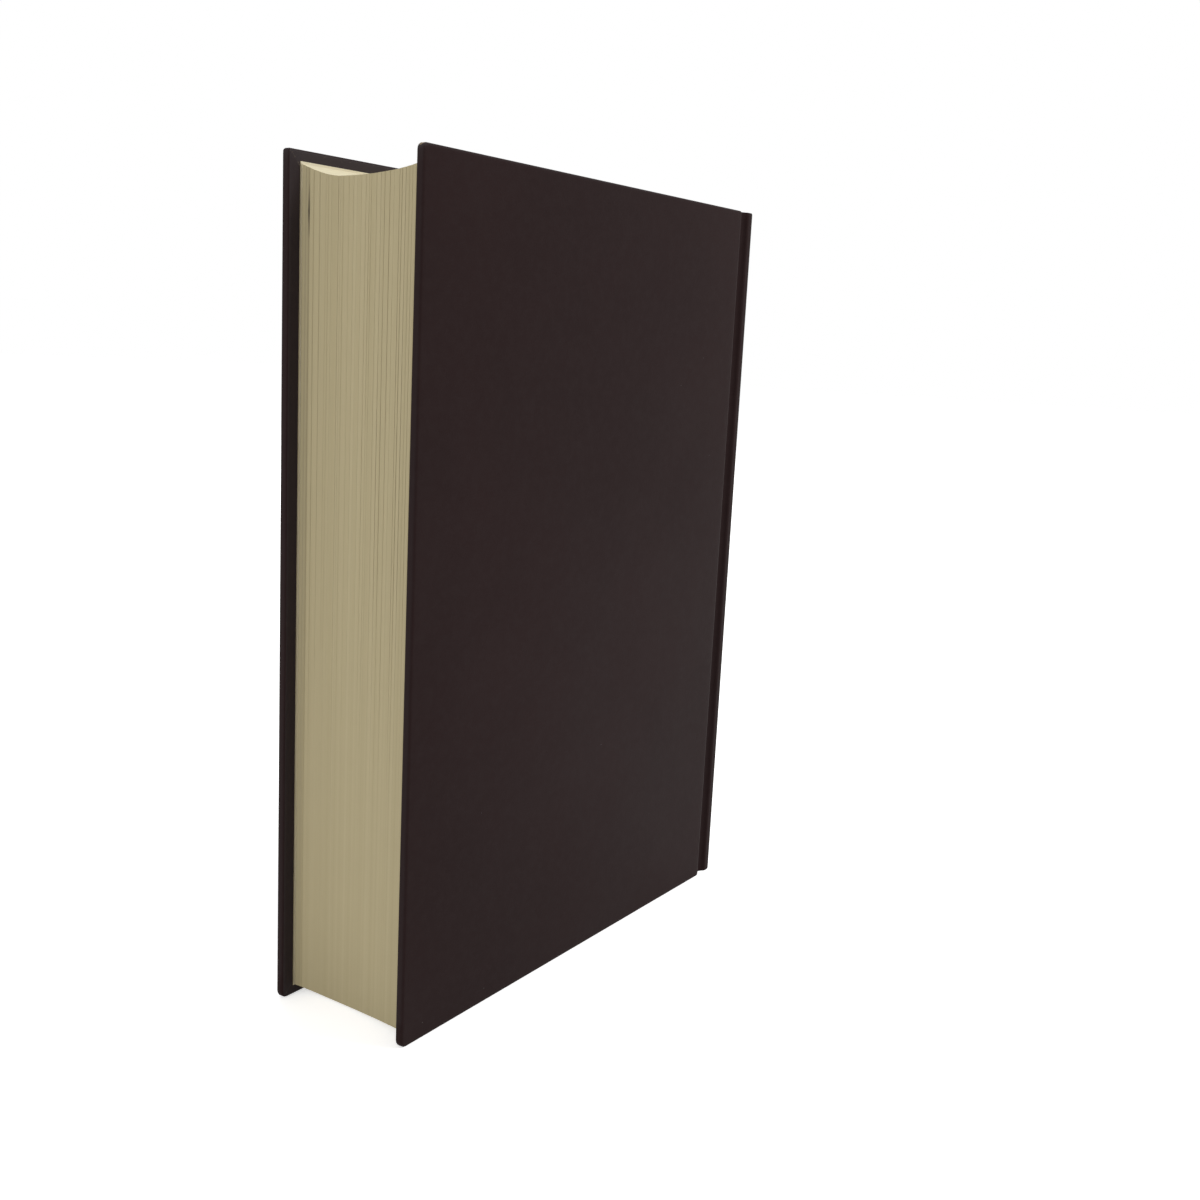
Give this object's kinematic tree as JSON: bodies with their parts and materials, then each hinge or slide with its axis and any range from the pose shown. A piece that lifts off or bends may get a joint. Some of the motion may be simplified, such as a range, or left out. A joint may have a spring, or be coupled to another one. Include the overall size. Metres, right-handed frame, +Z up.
{
  "type": "hardback book",
  "caption": "Thick hardback book standing upright, with a rounded back, hollow fore edge and two covers that open on vertical joints.",
  "frame": {"origin": "centre of the closed book's outline on the surface it stands on", "axes": "+Z up along the spine, +X from the spine to the fore edge, front cover faces -Y"},
  "size_m": [0.178, 0.049, 0.24],
  "materials": {
    "pages": "trimmed cream page edges",
    "endpaper": "smooth cream wove paper",
    "gauze": "open starched gauze",
    "lining": "brown kraft paper",
    "band": "woven cream bead",
    "board": "grey board",
    "covering": "dark brown leather-like bookcloth, satin"
  },
  "bodies": {
    "text_block": {"text_block": "pages", "front_flyleaf": "endpaper", "back_flyleaf": "endpaper", "mull": "gauze", "spine_lining": "lining", "head_band": "band", "tail_band": "band", "spine_inlay": "board", "spine_cloth": "covering"},
    "front_cover": {"front_board": "board", "front_cloth": "covering", "front_pastedown": "endpaper"},
    "back_cover": {"back_board": "board", "back_cloth": "covering", "back_pastedown": "endpaper"}
  },
  "joints": [
    {"name": "front_cover_hinge", "type": "hinge", "parent": "text_block", "child": "front_cover", "pos_m": [-0.0785, -0.02445, 0.12], "axis": [0, 0, -1], "range_deg": [0, 180]},
    {"name": "back_cover_hinge", "type": "hinge", "parent": "text_block", "child": "back_cover", "pos_m": [-0.0785, 0.02445, 0.12], "axis": [0, 0, 1], "range_deg": [0, 180]}
  ]
}
